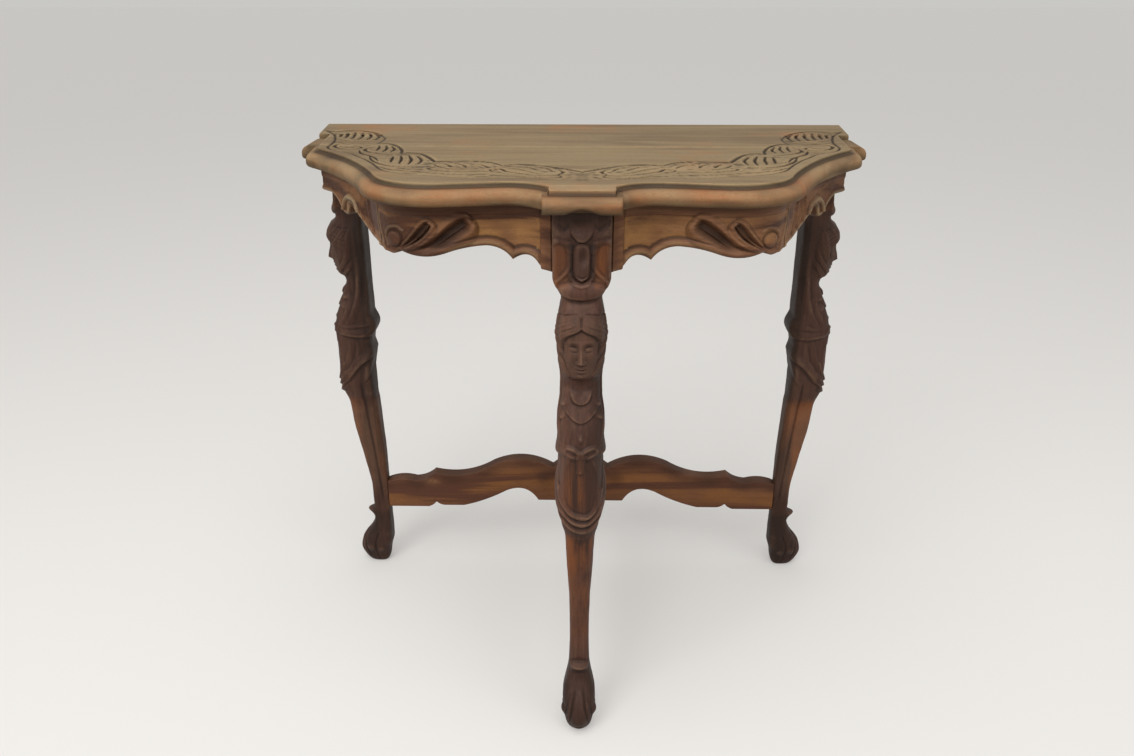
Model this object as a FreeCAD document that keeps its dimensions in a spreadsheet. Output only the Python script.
import FreeCAD, Part
import math
import os

import Sketcher

# Carved accent table: serpentine top on three figure legs, front facing -Y, millimetres
# Plan positions are given as x across and u forward from the rear edge, so Y is half_depth - u
# A size written as a formula keeps its share of the size that it follows

SIZES = {
    "Overall": {
        "table_height": 760,
        "half_depth": 237,
        "depth": "=2 * half_depth",
        "fit_gap": 0.2,
    },
    "Top": {
        "top_half_width": 387,
        "top_thickness": 24,
        "underside": "=table_height - top_thickness",
        "field_step": 6,
        "moulding_width": 17,
        "nose_round": 11,
        "underside_round": 4.5,
        "plain_end_depth": "=depth * 98 / 474",
        "plain_end_taper": 11,
        "rim_inset": 16,
        "end_corner_inset": 38,
        "end_corner_x": "=top_half_width - end_corner_inset",
        "end_corner_u": "=depth * 207 / 474",
        "end_corner_round": 8,
        "side_radius": 480,
        "shoulder_x": "=top_half_width * 168 / 387",
        "shoulder_setback": 124,
        "shoulder_u": "=depth - shoulder_setback",
        "shoulder_radius": 75,
        "waist_x": 82,
        "waist_radius": 60,
        "tablet_half_width": 43,
        "tablet_field_half": 37,
        "tablet_arch_half": 15,
        "tablet_arch_rise": 5,
        "end_tablet_stop": "=depth * 157 / 474",
        "end_tablet_step": 15,
        "board_joint_u": "=depth * 190 / 474",
    },
    "Aprons": {
        "apron_setback": 2,
        "apron_thickness": 22,
        "apron_front_gap": 1.2,
        "strip_end_x": 46,
        "strip_drop": 74,
        "scallop_bow": 10.5,
        "cusp_x": 79,
        "cusp_drop": 66,
        "crest_bow": 4,
        "crest_x": 108,
        "crest_drop": 49,
        "leaf_bow": 1.5,
        "leaf_x": "=shoulder_x * 150 / 168",
        "notch_x": "=shoulder_x * 210 / 168",
        "notch_drop": 55.5,
        "belly_bow": 5,
        "scroll_x": "=shoulder_x * 222 / 168",
        "scroll_drop": 62,
        "scroll_bow": 2,
        "side_rise_u": "=depth * 336 / 474",
        "side_crest_u": "=depth * 262 / 474",
        "side_crest_drop": 37.5,
        "side_rise_bow": 3,
        "pendant_u": "=depth * 249 / 474",
        "pendant_drop": 57,
        "pendant_bow": 3,
        "side_rear_u": "=depth * 222 / 474",
        "side_rear_drop": 32,
        "side_apron_inset": 33,
        "side_apron_end_x": "=top_half_width - side_apron_inset",
    },
    "Back rail": {
        "rail_drop": 60,
        "rail_thickness": 20,
    },
    "Leg places": {
        "front_leg_setback": 65,
        "front_leg_u": "=depth - front_leg_setback",
        "side_leg_inset": 52,
        "side_leg_x": "=top_half_width - side_leg_inset",
        "side_leg_u": 45,
    },
    "Leg block": {
        "block_half": 33,
        "block_front": 38,
        "block_edge": 3,
        "block_low": "=underside * 660 / 736",
        "block_foot": "=underside * 637 / 736",
        "block_foot_half": 23.5,
        "boss_height": "=underside * 709 / 736",
        "boss_half": 16,
        "boss_rise": 12,
        "boss_front": 49,
        "tongue_height": "=underside * 674 / 736",
        "tongue_half": 9,
        "tongue_rise": 25,
        "tongue_front": 45,
        "hollow_height": "=underside * 677 / 736",
        "hollow_place": 18,
        "hollow_half": 7.5,
        "hollow_rise": 25,
        "hollow_axis": 46,
        "hollow_depth": 14,
        "lip_height": "=underside * 640 / 736",
        "lip_half": 24,
        "lip_rise": 10,
        "lip_front": 50,
    },
    "Leg head": {
        "head_height": "=underside * 583 / 736",
        "head_half": 22,
        "head_rise": 42,
        "head_depth": 24,
        "head_axis": 37,
        "hair_height": "=underside * 599 / 736",
        "hair_half": 28,
        "hair_rise": 27,
        "hair_depth": 26.5,
        "neck_radius": 14,
        "neck_axis": 26,
        "neck_low": "=underside * 495 / 736",
        "veil_top_front": 40,
        "veil_corner": 9,
        "veil_head_half": 27,
        "veil_head_front": 48,
        "veil_jaw_height": "=underside * 568 / 736",
        "veil_jaw_half": 26,
        "veil_jaw_front": 42,
        "veil_neck_height": "=underside * 528 / 736",
        "veil_neck_half": 22.5,
        "veil_neck_front": 30,
    },
    "Leg body": {
        "collar_height": "=underside * 512 / 736",
        "collar_half": 19,
        "collar_front": 37,
        "collar_corner": 8,
        "bust_height": "=underside * 486 / 736",
        "bust_half": 27,
        "bust_front": 52,
        "bust_corner": 13,
        "bosom_height": "=underside * 450 / 736",
        "bosom_half": 27.8,
        "bosom_front": 64,
        "bosom_corner": 18,
        "waist_height": "=underside * 416 / 736",
        "waist_half": 27.5,
        "waist_front": 62.5,
        "waist_back": 5,
        "belly_height": "=underside * 390 / 736",
        "belly_half": 28.5,
        "belly_front": 64,
        "belly_back": 7,
        "belly_corner": 19,
        "swag_height": "=underside * 354 / 736",
        "swag_half": 25.5,
        "swag_front": 62.5,
        "swag_back": 6,
        "swag_corner": 17,
        "hem_height": "=underside * 327 / 736",
        "hem_half": 20.5,
        "hem_front": 55,
        "hem_corner": 13,
        "sash_height": "=underside * 443 / 736",
        "sash_half": 23,
        "sash_rise": 21,
        "sash_depth": 9,
        "sash_axis": 8,
        "swag_roll_height": "=underside * 343 / 736",
        "swag_roll_axis": 38,
        "swag_roll_radius": 20.5,
        "swag_roll_thickness": 5,
        "swag_roll_tilt": 24,
        "necklace_height": "=underside * 511 / 736",
        "necklace_axis": 27,
        "necklace_radius": 19,
        "necklace_thickness": 3.6,
        "necklace_tilt": 30,
    },
    "Leg shaft": {
        "shaft_top_height": "=underside * 348 / 736",
        "shaft_top_half": 20,
        "shaft_top_front": 52.5,
        "shaft_top_back": 5,
        "shaft_upper_height": "=underside * 277 / 736",
        "shaft_upper_half": 17,
        "shaft_upper_front": 47,
        "shaft_upper_back": 3,
        "shaft_mid_height": "=underside * 213 / 736",
        "shaft_mid_half": 13.7,
        "shaft_mid_front": 36.5,
        "shaft_low_height": "=underside * 150 / 736",
        "shaft_low_half": 12.9,
        "shaft_low_front": 28,
        "shaft_corner": 6,
        "ankle_height": 100,
        "ankle_half": 14.2,
        "ankle_front": 28,
        "fetlock_top": 113,
        "fetlock_tip": 104,
        "fetlock_low": 88,
        "fetlock_front": 40.5,
        "fetlock_half": 8,
    },
    "Leg foot": {
        "instep_height": 68,
        "instep_half": 21,
        "instep_front": 38,
        "knuckle_height": 46,
        "knuckle_half": 23.5,
        "knuckle_front": 54,
        "toe_height": 26,
        "toe_half": 20,
        "toe_front": 58,
        "toe_back": 6,
        "sole_half": 12,
        "sole_front": 44,
        "sole_back": 12,
        "foot_corner": 9,
    },
    "Stretchers": {
        "stretcher_half": 11,
        "hub_half": 47,
        "hub_valley": 193,
        "hub_bow": 20,
        "hump_bow": 14,
        "hump_end": "=side_leg_x * 150 / 335",
        "hump_height": 198,
        "spur_place": "=side_leg_x * 252 / 335",
        "spur_top": 181,
        "hollow_bow": 11,
        "tip_place": "=side_leg_x * 286 / 335",
        "tip_top": 166,
        "spur_bow": 3.5,
        "end_top": 163,
        "end_low": 113,
        "tip_bow": 4.5,
        "notch_half": 14,
        "notch_top": 123,
        "notch_low": 116,
        "notch_bow": 1.5,
        "arch_start": "=side_leg_x * 204 / 335",
        "arch_bow": 3,
        "arch_turn": "=side_leg_x * 130 / 335",
        "arch_height": 146,
        "arch_peak_bow": 14,
        "hub_low_half": 73,
        "hub_low": 128,
        "arm_shift": 30,
    },
    "Glue blocks": {
        "block_height": 44,
        "shoulder_block_start": -80,
        "shoulder_block_sweep": 50,
        "rear_block_width": 36,
        "rear_block_depth": 40,
    },
    "Dowels and screws": {
        "dowel_radius": 3.5,
        "dowel_half_length": 18,
        "dowel_gap": 0.1,
        "apron_dowel_setback": 59,
        "apron_dowel_u": "=depth - apron_dowel_setback",
        "apron_dowel_high": 18,
        "apron_dowel_low": 50,
        "side_dowel_inset": 43,
        "side_dowel_x": "=top_half_width - side_dowel_inset",
        "side_dowel_high": 9,
        "side_dowel_low": 24,
        "stretcher_dowel_high": 150,
        "stretcher_dowel_low": 127,
        "hub_dowel_high": 175,
        "hub_dowel_low": 147,
        "top_dowel_space": 190,
        "screw_radius": 2,
        "screw_bite": 13,
        "screw_head_radius": 4,
        "screw_head_height": 3,
        "rail_screw_space": 210,
        "rail_pocket_radius": 5.5,
        "rail_pocket_depth": 32,
    },
}

doc = FreeCAD.newDocument("accent_table")
sizes = doc.addObject("Spreadsheet::Sheet", "Sizes")
row = 1
for group, cells in SIZES.items():
    sizes.set(f"A{row}", group)
    row += 1
    for name, number in cells.items():
        sizes.set(f"A{row}", name.replace("_", " "))
        sizes.set(f"B{row}", str(number))
        sizes.setAlias(f"B{row}", name)
        row += 1
doc.recompute()


def value(text):
    """Number for a sum of size names such as 'table_height - top_thickness'."""
    total = 0.0
    sign = 1
    for word in text.split():
        if word in ("+", "-"):
            sign = 1 if word == "+" else -1
            continue
        total += sign * (float(getattr(sizes, word)) if word.isidentifier() else float(word))
        sign = 1
    return total


def bound(text):
    """The same sum written as an expression on the sheet."""
    return " ".join(f"Sizes.{word}" if word.isidentifier() else word for word in text.split())


def negative(text):
    """Expression text for minus a sum of size names."""
    return f"-({bound(text)})"


class Span:
    """A coordinate as a number and as an expression, measured back from a base when flipped."""

    def __init__(self, text, flip=False, base="0"):
        self.number = value(base) - value(text) if flip else value(text)
        self.text = f"{bound(base)} - ({bound(text)})" if flip else bound(text)


PLANES = {
    "XY": FreeCAD.Rotation(),
    "XZ": FreeCAD.Rotation(FreeCAD.Vector(1, 0, 0), 90),
    "YZ": FreeCAD.Rotation(FreeCAD.Vector(1, 1, 1), 120),
}


def outline(name, plane, corners, radii=None, bows=None):
    """Closed sketch through corners, each held by two sizes, with some sides bowed.

    radii gives side: (expression, number) for outward rounds; bows gives side: size name,
    where a leading minus turns the bow to the right of the way along the outline.
    """
    sketch = doc.addObject("Sketcher::SketchObject", name)
    sketch.Placement = FreeCAD.Placement(FreeCAD.Vector(), PLANES[plane])
    count = len(corners)
    ends = []
    rules = []
    formulas = []
    for i, (across, up) in enumerate(corners):
        nxt = corners[(i + 1) % count]
        first = FreeCAD.Vector(across.number, up.number)
        last = FreeCAD.Vector(nxt[0].number, nxt[1].number)
        radius = None
        if radii and i in radii:
            text, radius = radii[i]
            turn = 1
        elif bows and i in bows:
            turn = -1 if bows[i].startswith("-") else 1
            sag = bows[i].lstrip("-")
            chord = first.distanceToPoint(last)
            radius = chord ** 2 / (8 * value(sag)) + value(sag) / 2
            run = f"(({nxt[0].text}) - ({across.text}))^2 + (({nxt[1].text}) - ({up.text}))^2"
            text = f"({run}) / (8 * Sizes.{sag}) + Sizes.{sag} / 2"
        if radius is None:
            sketch.addGeometry(Part.LineSegment(first, last), False)
            ends.append((1, 2))
            continue
        way = (last - first).normalize()
        side = FreeCAD.Vector(way.y, -way.x) * turn
        half = first.distanceToPoint(last) / 2
        centre = (first + last) / 2 - side * math.sqrt(max(radius ** 2 - half ** 2, 0.0))
        start, stop = (first, last) if turn > 0 else (last, first)
        angles = [math.atan2(p.y - centre.y, p.x - centre.x) for p in (start, stop)]
        if angles[1] < angles[0]:
            angles[1] += 2 * math.pi
        circle = Part.Circle(centre, FreeCAD.Vector(0, 0, 1), radius)
        sketch.addGeometry(Part.ArcOfCircle(circle, angles[0], angles[1]), False)
        ends.append((1, 2) if turn > 0 else (2, 1))
        rules.append(Sketcher.Constraint("Radius", i, radius))
        formulas.append(text)
    for i, (across, up) in enumerate(corners):
        rules.append(Sketcher.Constraint("DistanceX", -1, 1, i, ends[i][0], across.number))
        formulas.append(across.text)
        rules.append(Sketcher.Constraint("DistanceY", -1, 1, i, ends[i][0], up.number))
        formulas.append(up.text)
    for i in range(count):
        j = (i + 1) % count
        rules.append(Sketcher.Constraint("Coincident", i, ends[i][1], j, ends[j][0]))
    sketch.addConstraint(rules)
    for k, text in enumerate(formulas):
        sketch.setExpression(f"Constraints[{k}]", text)
    return sketch


def extrusion(name, sketch, length, reverse=False, both=False):
    """Part extrusion of a sketch along its own normal."""
    solid = doc.addObject("Part::Extrusion", name)
    solid.Base = sketch
    solid.DirMode = "Normal"
    solid.Solid = True
    solid.Symmetric = both
    solid.Reversed = reverse
    solid.setExpression("LengthFwd", bound(length))
    return solid


def section(name, height, back, front, half, corner):
    """Rounded rectangular leg section at a height; the leg faces -Y with its back on Y=0."""
    inner = f"{half} - {corner}"
    near = f"{back} + {corner}"
    far = f"{front} - {corner}"
    corners = [
        (Span(half), Span(far, True)),
        (Span(half), Span(near, True)),
        (Span(inner), Span(back, True)),
        (Span(inner, True), Span(back, True)),
        (Span(half, True), Span(near, True)),
        (Span(half, True), Span(far, True)),
        (Span(inner, True), Span(front, True)),
        (Span(inner), Span(front, True)),
    ]
    rounds = {side: (bound(corner), value(corner)) for side in (1, 3, 5, 7)}
    sketch = outline(name, "XY", corners, radii=rounds)
    sketch.setExpression("Placement.Base.z", bound(height))
    return sketch


def loft(name, sketches):
    """Smooth solid through a run of sections."""
    solid = doc.addObject("Part::Loft", name)
    solid.Sections = sketches
    solid.Solid = True
    solid.Ruled = False
    return solid


def ellipsoid(name, height, axis, half, depth, rise):
    """Egg form on the middle of the leg: axis is its distance in front of the back."""
    egg = doc.addObject("Part::Ellipsoid", name)
    egg.setExpression("Radius1", bound(rise))
    egg.setExpression("Radius2", bound(half))
    egg.setExpression("Radius3", bound(depth))
    egg.setExpression("Placement.Base.y", negative(axis))
    egg.setExpression("Placement.Base.z", bound(height))
    return egg


def rod(name, base, direction, radius, length):
    """Cylinder from a base given as three expressions along a world direction."""
    cylinder = doc.addObject("Part::Cylinder", name)
    turn = FreeCAD.Rotation(FreeCAD.Vector(0, 0, 1), FreeCAD.Vector(*direction))
    cylinder.Placement = FreeCAD.Placement(FreeCAD.Vector(), turn)
    cylinder.setExpression("Radius", radius)
    cylinder.setExpression("Height", length)
    for letter, text in zip("xyz", base):
        cylinder.setExpression(f"Placement.Base.{letter}", text)
    return cylinder


def box(name, corner, extent):
    """Box from its lowest corner and its extents, all expressions."""
    solid = doc.addObject("Part::Box", name)
    for letter, text in zip("xyz", corner):
        solid.setExpression(f"Placement.Base.{letter}", text)
    for side, text in zip(("Length", "Width", "Height"), extent):
        solid.setExpression(side, text)
    return solid


def compound(name, members):
    """Several objects kept together as one."""
    group = doc.addObject("Part::Compound", name)
    group.Links = members
    return group


def fuse(name, members):
    """One solid from overlapping members."""
    solid = doc.addObject("Part::MultiFuse", name)
    solid.Shapes = members
    solid.Refine = True
    return solid


def cut(name, base, tools):
    """Base less every tool."""
    solid = doc.addObject("Part::Cut", name)
    solid.Base = base
    solid.Tool = tools[0] if len(tools) == 1 else compound(f"{name}_tools", tools)
    return solid


def mirrored(name, source):
    """Copy of a piece on the other side of the middle plane."""
    copy = doc.addObject("Part::Mirroring", name)
    copy.Source = source
    copy.Normal = FreeCAD.Vector(1, 0, 0)
    copy.Base = FreeCAD.Vector(0, 0, 0)
    return copy


def feature(name, shape):
    """Piece whose outline follows the serpentine, worked out from the sheet's sizes."""
    solid = doc.addObject("Part::Feature", name)
    solid.Shape = shape
    return solid


pieces = {}
UNDERSIDE = "table_height - top_thickness"

# Serpentine edge of the top, as tangent arcs that can be moved inward by an inset


def plan(x, u, z=0.0):
    """World point for a plan position."""
    return FreeCAD.Vector(x, value("half_depth") - u, z)


class Serpentine:
    """Right half of the moulded edge: waist, shoulder and long side arcs that meet in tangents."""

    def __init__(self):
        self.waist = (value("waist_x"), value("half_depth + half_depth"))
        self.shoulder = (value("shoulder_x"), value("shoulder_u"))
        self.waist_radius = value("waist_radius")
        self.shoulder_radius = value("shoulder_radius")
        self.side_radius = value("side_radius")
        run = self.shoulder[0] - self.waist[0]
        rise = self.waist[1] - self.shoulder[1]
        reach = self.waist_radius + self.shoulder_radius
        self.line_heading = math.atan2(rise, run) - math.asin(reach / math.hypot(run, rise))
        corner = (value("end_corner_x"), value("end_corner_u"))
        gap_x = self.shoulder[0] - corner[0]
        gap_u = self.shoulder[1] - corner[1]
        gap = math.hypot(gap_x, gap_u)
        far = self.side_radius + self.shoulder_radius
        along = (self.side_radius ** 2 - far ** 2 + gap ** 2) / (2 * gap)
        off = math.sqrt(self.side_radius ** 2 - along ** 2)
        self.side = (
            corner[0] + (gap_x * along + gap_u * off) / gap,
            corner[1] + (gap_u * along - gap_x * off) / gap,
        )
        self.side_heading = math.atan2(self.side[0] - self.shoulder[0], self.side[1] - self.shoulder[1])
        self.corner_heading = math.atan2(self.side[0] - corner[0], self.side[1] - corner[1])
        tip_x = value("top_half_width - plain_end_taper - rim_inset")
        end_x = tip_x - corner[0]
        end_u = corner[1] - value("plain_end_depth")
        self.end_heading = math.atan2(end_u, end_x)
        self.end_tip = (tip_x, value("plain_end_depth"))

    @staticmethod
    def _at(centre, radius, heading):
        return (centre[0] + radius * math.sin(heading), centre[1] + radius * math.cos(heading))

    def on_waist(self, heading, inset):
        return self._at(self.waist, -(self.waist_radius + inset), heading)

    def on_shoulder(self, heading, inset):
        return self._at(self.shoulder, self.shoulder_radius - inset, heading)

    def on_side(self, heading, inset):
        return self._at(self.side, -(self.side_radius + inset), heading)

    def waist_heading(self, x, inset):
        """Heading of the waist arc where it reaches a given x, or near its tip."""
        return math.asin(min((self.waist[0] - x) / (self.waist_radius + inset), 0.95))

    def end_line(self, u, inset):
        """Point of the straight end edge at a given u."""
        normal = (math.sin(self.end_heading), math.cos(self.end_heading))
        shift = (u - self.end_tip[1] + inset * normal[1]) / math.sin(self.end_heading)
        x = self.end_tip[0] - inset * normal[0] - shift * math.cos(self.end_heading)
        return (x, u)

    def corner_centre(self):
        """Centre of the small round between the side arc and the end edge."""
        round_off = value("end_corner_round")
        radius = self.side_radius + round_off
        u = value("end_corner_u")
        for _ in range(30):
            x = self.end_line(u, round_off)[0]
            u = self.side[1] - math.sqrt(radius ** 2 - (self.side[0] - x) ** 2)
        return (self.end_line(u, round_off)[0], u)

    def arc(self, point, start, stop, inset, z):
        """Arc edge between two headings of one of the three arcs."""
        spots = [point(h, inset) for h in (start, (start + stop) / 2, stop)]
        return Part.Arc(*[plan(x, u, z) for x, u in spots]).toShape()

    def front_edges(self, start_x, inset, z):
        """Waist, tangent line and shoulder from the front leg to the side."""
        first = self.waist_heading(start_x, inset)
        line = [self.on_waist(self.line_heading, inset), self.on_shoulder(self.line_heading, inset)]
        return [
            self.arc(self.on_waist, first, self.line_heading, inset, z),
            Part.LineSegment(*[plan(x, u, z) for x, u in line]).toShape(),
            self.arc(self.on_shoulder, self.line_heading, self.side_heading, inset, z),
        ]

    def end_edges(self, stop_u, inset, z):
        """Long side arc, rounded corner and end edge back to a given u."""
        centre = self.corner_centre()
        radius = value("end_corner_round") - inset
        turn = math.atan2(self.side[0] - centre[0], self.side[1] - centre[1])
        spots = [self._at(centre, radius, h) for h in (turn, (turn + self.end_heading) / 2, self.end_heading)]
        stop = self.end_line(stop_u, inset)
        return [
            self.arc(self.on_side, self.side_heading, turn, inset, z),
            Part.Arc(*[plan(x, u, z) for x, u in spots]).toShape(),
            Part.LineSegment(plan(*spots[2], z), plan(*stop, z)).toShape(),
        ]


curve = Serpentine()


def chain(points, z):
    """Straight edges through plan points."""
    spots = [plan(x, u, z) for x, u in points]
    return [Part.LineSegment(a, b).toShape() for a, b in zip(spots, spots[1:])]


def both_halves(edges):
    """Face bounded by edges on the right and their mirror on the left."""
    flip = FreeCAD.Vector(1, 0, 0)
    left = [edge.mirror(FreeCAD.Vector(), flip) for edge in edges]
    return Part.Face(Part.Wire(Part.__sortEdges__(edges + left)))


def moulding_profile(origin, outward):
    """Bullnose section from the rim outward, with a stub that reaches into the board."""
    low = value(UNDERSIDE)
    high = value("table_height - field_step")
    width = value("moulding_width")
    big = value("nose_round")
    small = value("underside_round")
    stub = -4.0

    def spot(out, z):
        return FreeCAD.Vector(origin.x + outward.x * out, origin.y + outward.y * out, z)

    bend = math.sqrt(0.5)
    upper = Part.Arc(
        spot(width - big, high),
        spot(width - big + big * bend, high - big + big * bend),
        spot(width, high - big),
    )
    lower = Part.Arc(
        spot(width, low + small),
        spot(width - small + small * bend, low + small - small * bend),
        spot(width - small, low),
    )
    lines = [
        Part.LineSegment(spot(stub, low), spot(stub, high)),
        Part.LineSegment(spot(stub, high), spot(width - big, high)),
        upper,
        Part.LineSegment(spot(width, high - big), spot(width, low + small)),
        lower,
        Part.LineSegment(spot(width - small, low), spot(stub, low)),
    ]
    return Part.Wire([line.toShape() for line in lines])


def top_solid():
    """The whole moulded top before it is parted into two boards."""
    low = value(UNDERSIDE)
    thick = value("top_thickness")
    half = value("tablet_field_half")
    rim_u = value("half_depth + half_depth - moulding_width")
    first = curve.on_waist(curve.waist_heading(half, 0), 0)
    wide = value("top_half_width")
    plain = value("plain_end_depth")
    edges = chain([(0, rim_u), (half, rim_u), first], low)
    edges += curve.front_edges(half, 0, low)
    edges += curve.end_edges(plain, 0, low)
    edges += chain([curve.end_tip, (wide - value("plain_end_taper"), plain), (wide, 0), (0, 0)], low)
    board = both_halves(edges).extrude(FreeCAD.Vector(0, 0, thick))
    path = curve.front_edges(half - 10, 0, low)
    path += curve.end_edges(value("end_tablet_stop") - 4, 0, low)
    start = path[0].Vertexes[0].Point
    heading = curve.waist_heading(half - 10, 0)
    out = FreeCAD.Vector(math.sin(heading), -math.cos(heading), 0)
    edge = Part.Wire(path).makePipeShell([moulding_profile(start, out)], True, False)
    tablet = moulding_profile(plan(-value("tablet_half_width"), rim_u), FreeCAD.Vector(0, -1, 0))
    tablet = Part.Face(tablet).extrude(FreeCAD.Vector(2 * value("tablet_half_width"), 0, 0))
    stop = value("end_tablet_stop")
    end_x = curve.end_line(stop, 0)[0] + value("end_tablet_step")
    ends = moulding_profile(plan(end_x, stop), FreeCAD.Vector(1, 0, 0))
    ends = Part.Face(ends).extrude(FreeCAD.Vector(0, stop - plain, 0))
    stub = Part.makeBox(40, stop - plain, thick - value("field_step"), plan(end_x - 40, stop, low))
    flip = FreeCAD.Vector(1, 0, 0)
    added = [tablet]
    for shape in (edge, ends, stub):
        added += [shape, shape.mirror(FreeCAD.Vector(), flip)]
    rise = value("tablet_arch_rise")
    span = value("tablet_arch_half")
    radius = span ** 2 / (2 * rise) + rise / 2
    arch = Part.makeCylinder(radius, 40, plan(0, rim_u - 12, low + rise - radius), FreeCAD.Vector(0, -1, 0))
    return board.fuse(added).cut(arch).removeSplitter()


# Two edge-glued boards for the top
top = top_solid()
span = value("top_half_width + top_half_width + moulding_width + moulding_width")
joint_u = value("board_joint_u")
deep = value("half_depth + half_depth")
rear_space = Part.makeBox(span, joint_u + 5, 60, plan(-span / 2, joint_u, value(UNDERSIDE) - 5))
front_space = Part.makeBox(span, deep - joint_u + 5, 60, plan(-span / 2, deep + 5, value(UNDERSIDE) - 5))
rear_board = feature("rear_board_form", top.common(rear_space))
front_board = feature("front_board_form", top.common(front_space))

# Aprons: bent boards with a sawn lower edge
setback = value("apron_setback")
inner = value("apron_setback + apron_thickness")
under = value(UNDERSIDE)
deepest = value("strip_drop")


def apron_blank(outer_edges, inner_edges):
    """Bent board between two insets of the serpentine, hung from the underside of the top."""
    ends = []
    for index in (0, -1):
        points = []
        for edges in (outer_edges, inner_edges):
            vertex = edges[index].Vertexes[index]
            points.append(vertex.Point)
        ends.append(Part.LineSegment(*points).toShape())
    wire = Part.Wire(Part.__sortEdges__(outer_edges + inner_edges + ends))
    return Part.Face(wire).extrude(FreeCAD.Vector(0, 0, -deepest))


def side_edges(inset, end_x):
    """Side arc, then a straight run to the rear leg."""
    knee = curve.on_side(curve.corner_heading, inset)
    stop = value("side_leg_u + block_half + fit_gap")
    return [
        curve.arc(curve.on_side, curve.side_heading, curve.corner_heading, inset, under),
        Part.LineSegment(plan(*knee, under), plan(end_x, stop, under)).toShape(),
    ]


start_x = value("block_half + apron_front_gap")
front_blank = feature(
    "apron_front_blank",
    apron_blank(curve.front_edges(start_x, setback, under), curve.front_edges(start_x, inner, under)),
)
end_x = value("side_apron_end_x")
side_blank = feature(
    "apron_side_blank",
    apron_blank(side_edges(setback, end_x), side_edges(inner, end_x - value("apron_thickness"))),
)


def drop(name):
    """Height of a point that hangs a given size below the top."""
    return Span(f"{UNDERSIDE} - {name}")


front_edge = [
    (Span("block_half - 5"), drop("strip_drop")),
    (Span("strip_end_x"), drop("strip_drop")),
    (Span("cusp_x"), drop("cusp_drop")),
    (Span("crest_x"), drop("crest_drop")),
    (Span("leaf_x"), drop("notch_drop")),
    (Span("notch_x"), drop("notch_drop")),
    (Span("scroll_x"), drop("scroll_drop")),
    (Span("scroll_x + 40"), drop("scroll_drop")),
    (Span("scroll_x + 40"), drop("strip_drop - 10")),
    (Span("block_half - 5"), drop("strip_drop - 10")),
]
front_saw = outline(
    "apron_front_edge",
    "XZ",
    front_edge,
    bows={1: "-scallop_bow", 2: "-crest_bow", 3: "-leaf_bow", 4: "belly_bow", 5: "scroll_bow"},
)
front_waste = extrusion("apron_front_waste", front_saw, "half_depth")


def ahead(text):
    """World Y of a plan distance from the rear edge."""
    return Span(text, flip=True, base="half_depth")


side_edge = [
    (ahead("side_rise_u + 60"), drop("scroll_drop")),
    (ahead("side_rise_u"), drop("scroll_drop")),
    (ahead("side_crest_u"), drop("side_crest_drop")),
    (ahead("pendant_u"), drop("pendant_drop")),
    (ahead("side_rear_u"), drop("side_rear_drop")),
    (ahead("side_leg_u + block_half - 5"), drop("side_rear_drop")),
    (ahead("side_leg_u + block_half - 5"), drop("strip_drop - 10")),
    (ahead("side_rise_u + 60"), drop("strip_drop - 10")),
]
side_saw = outline(
    "apron_side_edge",
    "YZ",
    side_edge,
    bows={1: "-side_rise_bow", 2: "pendant_bow", 3: "pendant_bow"},
)
side_waste = extrusion("apron_side_waste", side_saw, "top_half_width")

# Figure leg: block with boss and lip, head and veil, draped body, tapering shaft, clawed foot
zero = "0"
block = loft("leg_block", [
    section("block_head_section", UNDERSIDE, zero, "block_front", "block_half", "block_edge"),
    section("block_low_section", "block_low", zero, "block_front", "block_half", "block_edge"),
])
block_foot = loft("leg_block_foot", [
    section("block_knee_section", "block_low", zero, "block_front", "block_half", "block_edge"),
    section("block_foot_section", "block_foot", zero, "block_front", "block_foot_half", "block_edge"),
])
hollows = []
for side, sign in (("right", ""), ("left", "-")):
    hollow = ellipsoid(
        f"leg_hollow_{side}", "hollow_height", "hollow_axis", "hollow_half", "hollow_depth", "hollow_rise"
    )
    hollow.setExpression("Placement.Base.x", f"{sign}Sizes.hollow_place")
    hollows.append(hollow)
carved_block = cut("leg_block_carved", fuse("leg_block_whole", [block, block_foot]), hollows)
boss_axis = "block_front - 3"
boss = ellipsoid(
    "leg_boss", "boss_height", boss_axis, "boss_half", "boss_front - block_front + 3", "boss_rise"
)
tongue = ellipsoid(
    "leg_tongue", "tongue_height", boss_axis, "tongue_half", "tongue_front - block_front + 3", "tongue_rise"
)
lip_axis = "block_front - 4"
lip = ellipsoid("leg_lip", "lip_height", lip_axis, "lip_half", "lip_front - block_front + 4", "lip_rise")
veil = loft("leg_veil", [
    section("veil_top_section", "block_foot + 4", zero, "veil_top_front", "block_foot_half", "veil_corner"),
    section("veil_head_section", "hair_height", zero, "veil_head_front", "veil_head_half", "veil_corner"),
    section("veil_jaw_section", "veil_jaw_height", zero, "veil_jaw_front", "veil_jaw_half", "veil_corner"),
    section("veil_neck_section", "veil_neck_height", zero, "veil_neck_front",
            "veil_neck_half", "veil_corner"),
    section("veil_low_section", "bust_height", zero, "veil_neck_front", "veil_neck_half", "veil_corner"),
])
head = ellipsoid("leg_head", "head_height", "head_axis", "head_half", "head_depth", "head_rise")
hair = ellipsoid("leg_hair", "hair_height", "head_axis", "hair_half", "hair_depth", "hair_rise")
neck_base = ["0", negative("neck_axis"), bound("neck_low")]
neck_rise = bound("head_height - neck_low")
neck = rod("leg_neck", neck_base, (0, 0, 1), bound("neck_radius"), neck_rise)
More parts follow.
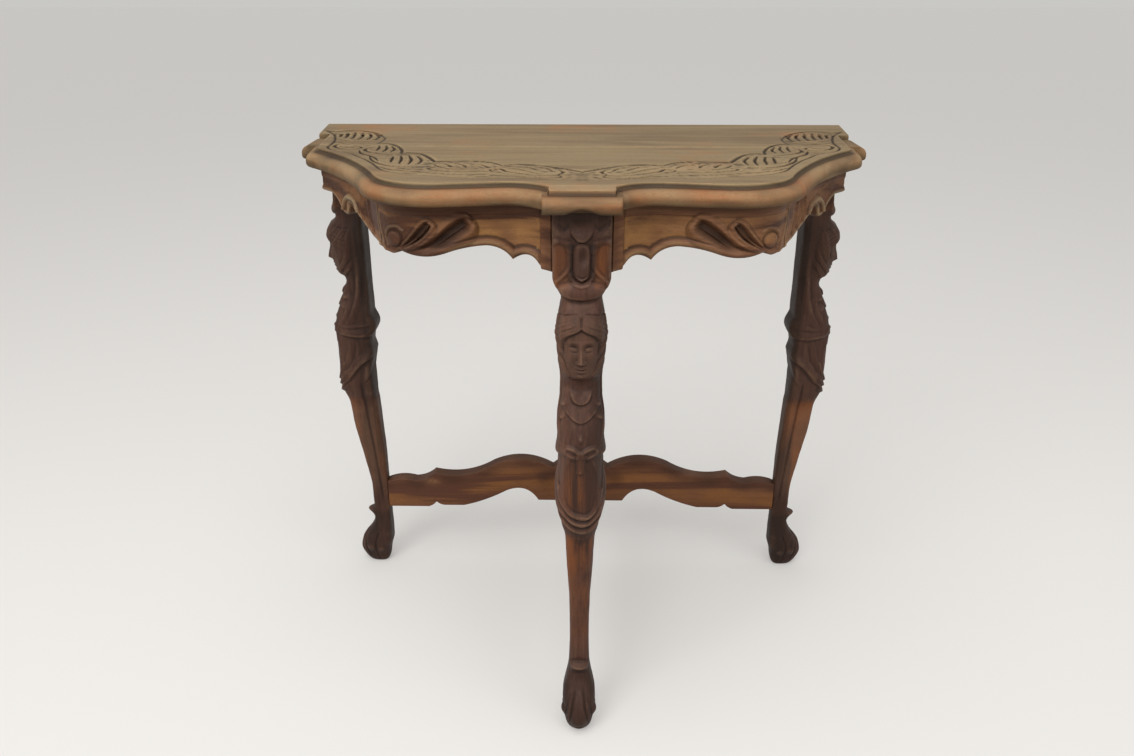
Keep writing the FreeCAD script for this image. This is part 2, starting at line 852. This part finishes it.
body = loft("leg_body", [
    section("collar_section", "collar_height", zero, "collar_front", "collar_half", "collar_corner"),
    section("bust_section", "bust_height", zero, "bust_front", "bust_half", "bust_corner"),
    section("bosom_section", "bosom_height", zero, "bosom_front", "bosom_half", "bosom_corner"),
    section("waist_section", "waist_height", "waist_back", "waist_front", "waist_half", "bosom_corner"),
    section("belly_section", "belly_height", "belly_back", "belly_front", "belly_half", "belly_corner"),
    section("swag_section", "swag_height", "swag_back", "swag_front", "swag_half", "swag_corner"),
    section("hem_section", "hem_height", "swag_back", "hem_front", "hem_half", "hem_corner"),
])
sash = ellipsoid("leg_sash", "sash_height", "sash_axis", "sash_half", "sash_depth", "sash_rise")


def tilted_roll(name, stem):
    """Rolled band of cloth round the leg, dipping towards the front."""
    roll = doc.addObject("Part::Torus", name)
    roll.setExpression("Radius1", bound(f"{stem}_radius"))
    roll.setExpression("Radius2", bound(f"{stem}_thickness"))
    turn = FreeCAD.Rotation(FreeCAD.Vector(1, 0, 0), value(f"{stem}_tilt"))
    roll.Placement = FreeCAD.Placement(FreeCAD.Vector(), turn)
    roll.setExpression("Placement.Base.y", negative(f"{stem}_axis"))
    roll.setExpression("Placement.Base.z", bound(f"{stem}_height"))
    return roll


swag_roll = tilted_roll("leg_swag_roll", "swag_roll")
necklace = tilted_roll("leg_necklace", "necklace")
shaft = loft("leg_shaft", [
    section("shaft_top_section", "shaft_top_height", "shaft_top_back", "shaft_top_front",
            "shaft_top_half", "shaft_corner"),
    section("shaft_upper_section", "shaft_upper_height", "shaft_upper_back", "shaft_upper_front",
            "shaft_upper_half", "shaft_corner"),
    section("shaft_mid_section", "shaft_mid_height", zero, "shaft_mid_front",
            "shaft_mid_half", "shaft_corner"),
    section("shaft_low_section", "shaft_low_height", zero, "shaft_low_front",
            "shaft_low_half", "shaft_corner"),
    section("shaft_foot_section", "ankle_height", zero, "ankle_front", "ankle_half", "shaft_corner"),
])
foot = loft("leg_foot", [
    section("ankle_section", "ankle_height", zero, "ankle_front", "ankle_half", "shaft_corner"),
    section("instep_section", "instep_height", zero, "instep_front", "instep_half", "foot_corner"),
    section("knuckle_section", "knuckle_height", zero, "knuckle_front", "knuckle_half", "foot_corner"),
    section("toe_section", "toe_height", "toe_back", "toe_front", "toe_half", "foot_corner"),
    section("sole_section", zero, "sole_back", "sole_front", "sole_half", "foot_corner"),
])
fetlock_edge = outline("fetlock_edge", "YZ", [
    (Span("ankle_front - 10", True), Span("fetlock_top")),
    (Span("ankle_front - 10", True), Span("fetlock_low")),
    (Span("ankle_front", True), Span("fetlock_low")),
    (Span("fetlock_front", True), Span("fetlock_tip")),
    (Span("ankle_front", True), Span("fetlock_top")),
])
fetlock = extrusion("leg_fetlock", fetlock_edge, "fetlock_half + fetlock_half", both=True)
leg_form = fuse("leg_form", [
    carved_block, boss, tongue, lip, veil, head, hair, neck, necklace,
    body, sash, swag_roll, shaft, foot, fetlock,
])


def placed_leg(name, base, angle):
    """The leg pattern stood in its place and turned to face outward."""
    leg = compound(name, [leg_form])
    leg.Placement = FreeCAD.Placement(FreeCAD.Vector(), FreeCAD.Rotation(FreeCAD.Vector(0, 0, 1), angle))
    for letter, text in zip("xyz", base):
        leg.setExpression(f"Placement.Base.{letter}", text)
    return leg


front_y = bound("half_depth - front_leg_u")
side_y = bound("half_depth - side_leg_u")
front_leg = placed_leg("leg_front_form", ["0", front_y, "0"], 0)
right_leg = placed_leg("leg_right_form", [bound("side_leg_x"), side_y, "0"], 90)

# Back rail between the rear legs
rail_y = bound("half_depth - side_leg_u + block_half - rail_thickness")
rail_length = "side_leg_x - fit_gap"
rail = box(
    "back_rail_form",
    [negative(rail_length), rail_y, bound(f"{UNDERSIDE} - rail_drop")],
    [f"2 * ({bound(rail_length)})", bound("rail_thickness"), bound("rail_drop")],
)

# Sawn stretchers: a rear board with a hub in its middle, and an arm from the hub to the front leg
edge_points = [
    ("hump_end", "hump_height"),
    ("spur_place", "spur_top"),
    ("tip_place", "tip_top"),
    ("", "end_top"),
    ("", "end_low"),
    ("spur_place + notch_half", "end_low"),
    ("spur_place", "notch_top"),
    ("spur_place - notch_half", "notch_low"),
    ("arch_start", "notch_low"),
    ("arch_turn", "arch_height"),
    ("hub_low_half", "hub_low"),
]
edge_bows = {
    0: "-hump_bow",
    1: "hollow_bow",
    2: "spur_bow",
    3: "-tip_bow",
    6: "-notch_bow",
    7: "-notch_bow",
    9: "-arch_bow",
    10: "arch_peak_bow",
}
rear_end = "side_leg_x - fit_gap"
half_points = [("hub_half", "hub_valley")] + [(place or rear_end, height) for place, height in edge_points]
right_side = [(Span(place), Span(height)) for place, height in half_points]
left_side = [(Span(place, flip=True), Span(height)) for place, height in reversed(half_points)]
last_side = 2 * len(half_points) - 1
rear_bows = {last_side: "-hub_bow"}
for side, bow in edge_bows.items():
    rear_bows[side] = bow
    rear_bows[last_side - 1 - side] = bow
rear_saw = outline("stretcher_rear_edge", "XZ", right_side + left_side, bows=rear_bows)
rear_bar = extrusion("stretcher_rear_form", rear_saw, "stretcher_half + stretcher_half", both=True)
rear_bar.setExpression("Placement.Base.y", bound("half_depth - side_leg_u"))
arm_start = "side_leg_u + stretcher_half + fit_gap"
arm_end = "front_leg_u - fit_gap"
arm_points = [(ahead(arm_start), Span("hub_valley"))]
for place, height in edge_points:
    arm_points.append((ahead(f"{place} + arm_shift" if place else arm_end), Span(height)))
arm_points.append((ahead(arm_start), Span("hub_low")))
arm_bows = {side: bow[1:] if bow.startswith("-") else f"-{bow}" for side, bow in edge_bows.items()}
arm_saw = outline("stretcher_front_edge", "YZ", arm_points, bows=arm_bows)
arm = extrusion("stretcher_front_form", arm_saw, "stretcher_half + stretcher_half", both=True)

# Dowels and the bores they sit in
ACROSS = (1, 0, 0)
FORWARD = (0, -1, 0)
UPWARD = (0, 0, 1)


def minus(text, amount):
    """Expression for one expression less another."""
    return f"({text}) - ({amount})"


def dowel(name, centre, direction):
    """Dowel about a centre, with the slightly larger bore for its two pieces."""
    pair = []
    for part, extra in (("pin", "0"), ("bore", "dowel_gap")):
        half = bound(f"dowel_half_length + {extra}")
        base = [minus(text, f"{way} * ({half})") for text, way in zip(centre, direction)]
        radius = bound(f"dowel_radius + {extra}")
        pair.append(rod(f"{name}_{part}", base, direction, radius, f"2 * ({half})"))
    return pair


def dowel_set(name, places, direction):
    """Dowels of one kind: the group of pins and the list of bores."""
    pins = []
    bores = []
    for index, centre in enumerate(places):
        pin, bore = dowel(f"{name}_{index + 1}", centre, direction)
        pins.append(pin)
        bores.append(bore)
    return compound(name, pins), bores


def hung(name):
    """World height of a point below the underside of the top."""
    return bound(f"{UNDERSIDE} - {name}")


def world_y(text):
    """World Y expression of a plan distance from the rear edge."""
    return ahead(text).text


joint_x = bound("block_half")
apron_places = [
    [sign + f"({joint_x})", world_y("apron_dowel_u"), hung(level)]
    for sign in ("", "-")
    for level in ("apron_dowel_high", "apron_dowel_low")
]
apron_pins, apron_bores = dowel_set("apron_front_dowels", apron_places, ACROSS)
side_places = [
    [sign + f"({bound('side_dowel_x')})", world_y("side_leg_u + block_half"), hung(level)]
    for sign in ("", "-")
    for level in ("side_dowel_high", "side_dowel_low")
]
side_pins, side_bores = dowel_set("apron_side_dowels", side_places, FORWARD)
rail_middle = f"{rail_y} + Sizes.rail_thickness / 2"
rail_places = [
    [sign + f"({bound('side_leg_x')})", rail_middle, hung(level)]
    for sign in ("", "-")
    for level in ("apron_dowel_high", "apron_dowel_low - 4")
]
rail_pins, rail_bores = dowel_set("back_rail_dowels", rail_places, ACROSS)
bar_places = [
    [sign + f"({bound('side_leg_x')})", side_y, bound(level)]
    for sign in ("", "-")
    for level in ("stretcher_dowel_high", "stretcher_dowel_low")
]
bar_pins, bar_bores = dowel_set("stretcher_rear_dowels", bar_places, ACROSS)
arm_places = [["0", world_y("side_leg_u + stretcher_half"), bound(level)]
              for level in ("hub_dowel_high", "hub_dowel_low")]
arm_places += [["0", world_y("front_leg_u"), bound(level)]
               for level in ("stretcher_dowel_high", "stretcher_dowel_low")]
arm_pins, arm_bores = dowel_set("stretcher_front_dowels", arm_places, FORWARD)
board_middle = "Sizes.table_height - Sizes.top_thickness / 2"
board_places = [[f"{step} * Sizes.top_dowel_space", world_y("board_joint_u"), board_middle]
                for step in (-1, 0, 1)]
board_pins, board_bores = dowel_set("top_dowels", board_places, FORWARD)

# Glue blocks in the shoulders and rear corners
block_low = bound(f"{UNDERSIDE} - block_height")
shoulder = rod(
    "shoulder_block_form",
    [bound("shoulder_x"), world_y("shoulder_u"), block_low],
    UPWARD,
    bound("shoulder_radius - apron_setback - apron_thickness - fit_gap"),
    bound("block_height"),
)
turn = FreeCAD.Rotation(FreeCAD.Vector(0, 0, 1), value("shoulder_block_start"))
shoulder.Placement = FreeCAD.Placement(shoulder.Placement.Base, turn)
shoulder.setExpression("Angle", bound("shoulder_block_sweep"))
corner_y = f"{rail_y} - Sizes.fit_gap - Sizes.rear_block_depth"
corner = box(
    "rear_block_form",
    [bound("side_leg_x - fit_gap - rear_block_width"), corner_y, block_low],
    [bound("rear_block_width"), bound("rear_block_depth"), bound("block_height")],
)

# Countersunk screws up into the top, each with its hole


def screw(name, place, low, reach):
    """Screw from its head at a height, with a hole a little larger all round."""
    pair = []
    for part, extra in (("body", "0"), ("hole", "dowel_gap")):
        base = [place[0], place[1], minus(low, bound(extra))]
        head = doc.addObject("Part::Cone", f"{name}_{part}_head")
        for letter, text in zip("xyz", base):
            head.setExpression(f"Placement.Base.{letter}", text)
        head.setExpression("Radius1", bound(f"screw_head_radius + {extra}"))
        head.setExpression("Radius2", bound(f"screw_radius + {extra}"))
        head.setExpression("Height", bound("screw_head_height"))
        length = f"({reach}) + 2 * ({bound(extra)})"
        shank = rod(f"{name}_{part}_shank", base, UPWARD, bound(f"screw_radius + {extra}"), length)
        pair.append(fuse(f"{name}_{part}", [head, shank]))
    return pair


shoulder_turn = math.radians(value("shoulder_block_start") + value("shoulder_block_sweep") / 2)
shoulder_out = value("shoulder_radius - apron_setback - apron_thickness") * 0.6
block_reach = bound("block_height + screw_bite")
block_bodies = []
shoulder_holes = []
corner_holes = []
for side, sign in (("right", 1), ("left", -1)):
    across = f"{sign} * (Sizes.shoulder_x + {shoulder_out * math.cos(shoulder_turn):.3f})"
    along = f"{world_y('shoulder_u')} + ({shoulder_out * math.sin(shoulder_turn):.3f})"
    made, hole = screw(f"shoulder_screw_{side}", [across, along], block_low, block_reach)
    block_bodies.append(made)
    shoulder_holes.append(hole)
    across = f"{sign} * ({bound('side_leg_x - fit_gap')} - Sizes.rear_block_width / 2)"
    along = f"{corner_y} + Sizes.rear_block_depth / 2"
    made, hole = screw(f"corner_screw_{side}", [across, along], block_low, block_reach)
    block_bodies.append(made)
    corner_holes.append(hole)
block_screws = compound("block_screws", block_bodies)
rail_bodies = []
rail_holes = []
pockets = []
rail_low = bound(f"{UNDERSIDE} - rail_drop")
rail_reach = bound("rail_drop - rail_pocket_depth + screw_bite")
for index, step in enumerate((-1, 0, 1)):
    place = [f"{step} * Sizes.rail_screw_space", rail_middle]
    low = f"{rail_low} + Sizes.rail_pocket_depth"
    made, hole = screw(f"rail_screw_{index + 1}", place, low, rail_reach)
    rail_bodies.append(made)
    rail_holes.append(hole)
    deep_text = bound("rail_pocket_depth")
    pockets.append(rod(f"rail_pocket_{index + 1}", place + [rail_low], UPWARD,
                       bound("rail_pocket_radius"), deep_text))
rail_screws = compound("rail_screws", rail_bodies)

# Finished pieces, each with its bores cut
left_leg = placed_leg("leg_left_form", [negative("side_leg_x"), side_y, "0"], -90)
leg_bores = side_bores + rail_bores + bar_bores
pieces["top_board_rear"] = cut("top_board_rear", rear_board, board_bores + rail_holes + corner_holes)
pieces["top_board_front"] = cut("top_board_front", front_board, board_bores + shoulder_holes)
apron_right = cut("apron_front_right", front_blank, [front_waste] + apron_bores)
pieces["apron_front_right"] = apron_right
pieces["apron_front_left"] = mirrored("apron_front_left", apron_right)
apron_side = cut("apron_side_right", side_blank, [side_waste] + side_bores)
pieces["apron_side_right"] = apron_side
pieces["apron_side_left"] = mirrored("apron_side_left", apron_side)
pieces["back_rail"] = cut("back_rail", rail, rail_bores + rail_holes + pockets)
pieces["leg_front"] = cut("leg_front", front_leg, apron_bores + arm_bores)
pieces["leg_right"] = cut("leg_right", right_leg, leg_bores)
pieces["leg_left"] = cut("leg_left", left_leg, leg_bores)
pieces["stretcher_rear"] = cut("stretcher_rear", rear_bar, bar_bores + arm_bores)
pieces["stretcher_front"] = cut("stretcher_front", arm, arm_bores)
shoulder_right = cut("shoulder_block_right", shoulder, [shoulder_holes[0]])
pieces["shoulder_block_right"] = shoulder_right
pieces["shoulder_block_left"] = mirrored("shoulder_block_left", shoulder_right)
corner_right = cut("rear_block_right", corner, [corner_holes[0]])
pieces["rear_block_right"] = corner_right
pieces["rear_block_left"] = mirrored("rear_block_left", corner_right)
pieces["apron_front_dowels"] = apron_pins
pieces["apron_side_dowels"] = side_pins
pieces["back_rail_dowels"] = rail_pins
pieces["stretcher_rear_dowels"] = bar_pins
pieces["stretcher_front_dowels"] = arm_pins
pieces["top_dowels"] = board_pins
pieces["block_screws"] = block_screws
pieces["rail_screws"] = rail_screws

doc.recompute()
for item in doc.Objects:
    if "Invalid" in item.State or "Error" in item.State:
        raise RuntimeError(f"{item.Name} did not recompute: {item.State}")

os.makedirs("parts", exist_ok=True)
for node, item in pieces.items():
    item.Label = node
    if item.Shape.isNull() or not item.Shape.isValid():
        raise RuntimeError(f"{node} has no valid shape")
    item.Shape.exportStep(f"parts/{node}.step")
    box_of = item.Shape.BoundBox
    print(f"{node}: {len(item.Shape.Solids)} solid(s), volume {item.Shape.Volume:.0f}, "
          f"x {box_of.XMin:.1f}..{box_of.XMax:.1f} y {box_of.YMin:.1f}..{box_of.YMax:.1f} "
          f"z {box_of.ZMin:.1f}..{box_of.ZMax:.1f}")
